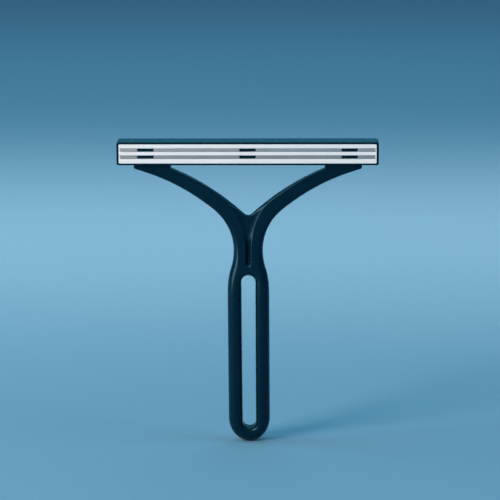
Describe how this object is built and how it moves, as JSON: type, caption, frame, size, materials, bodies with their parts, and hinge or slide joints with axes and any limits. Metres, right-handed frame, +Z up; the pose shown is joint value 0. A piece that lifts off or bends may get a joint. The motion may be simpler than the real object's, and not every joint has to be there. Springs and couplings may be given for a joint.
{
  "type": "body groomer",
  "caption": "Wide twin-blade body groomer: a long cartridge with narrow blades between white bars, on a Y-shaped handle whose grip is an open loop",
  "frame": {"origin": "middle of the object's own footprint, on the plane through the lowest point of the loop", "axes": "+Z runs up from the loop to the cartridge, the cutting face looks along -Y, and the object is symmetric about X = 0"},
  "size_m": [0.1032, 0.0182, 0.1252],
  "materials": {
    "navy_plastic": "satin moulded",
    "white_plastic": "smooth moulded",
    "blade_steel": "ground"
  },
  "bodies": {
    "handle": {"handle": "navy_plastic"},
    "cartridge": {"cartridge_frame": "navy_plastic", "blade_seat": "white_plastic", "guard_bar": "white_plastic", "lower_blade": "blade_steel", "spacer_bar": "white_plastic", "upper_blade": "blade_steel", "cap_bar": "white_plastic"}
  },
  "joints": [
    {"name": "cartridge_release", "type": "slide", "parent": "handle", "child": "cartridge", "axis": [0, 0, 1], "range_m": [0, 0.015]}
  ]
}
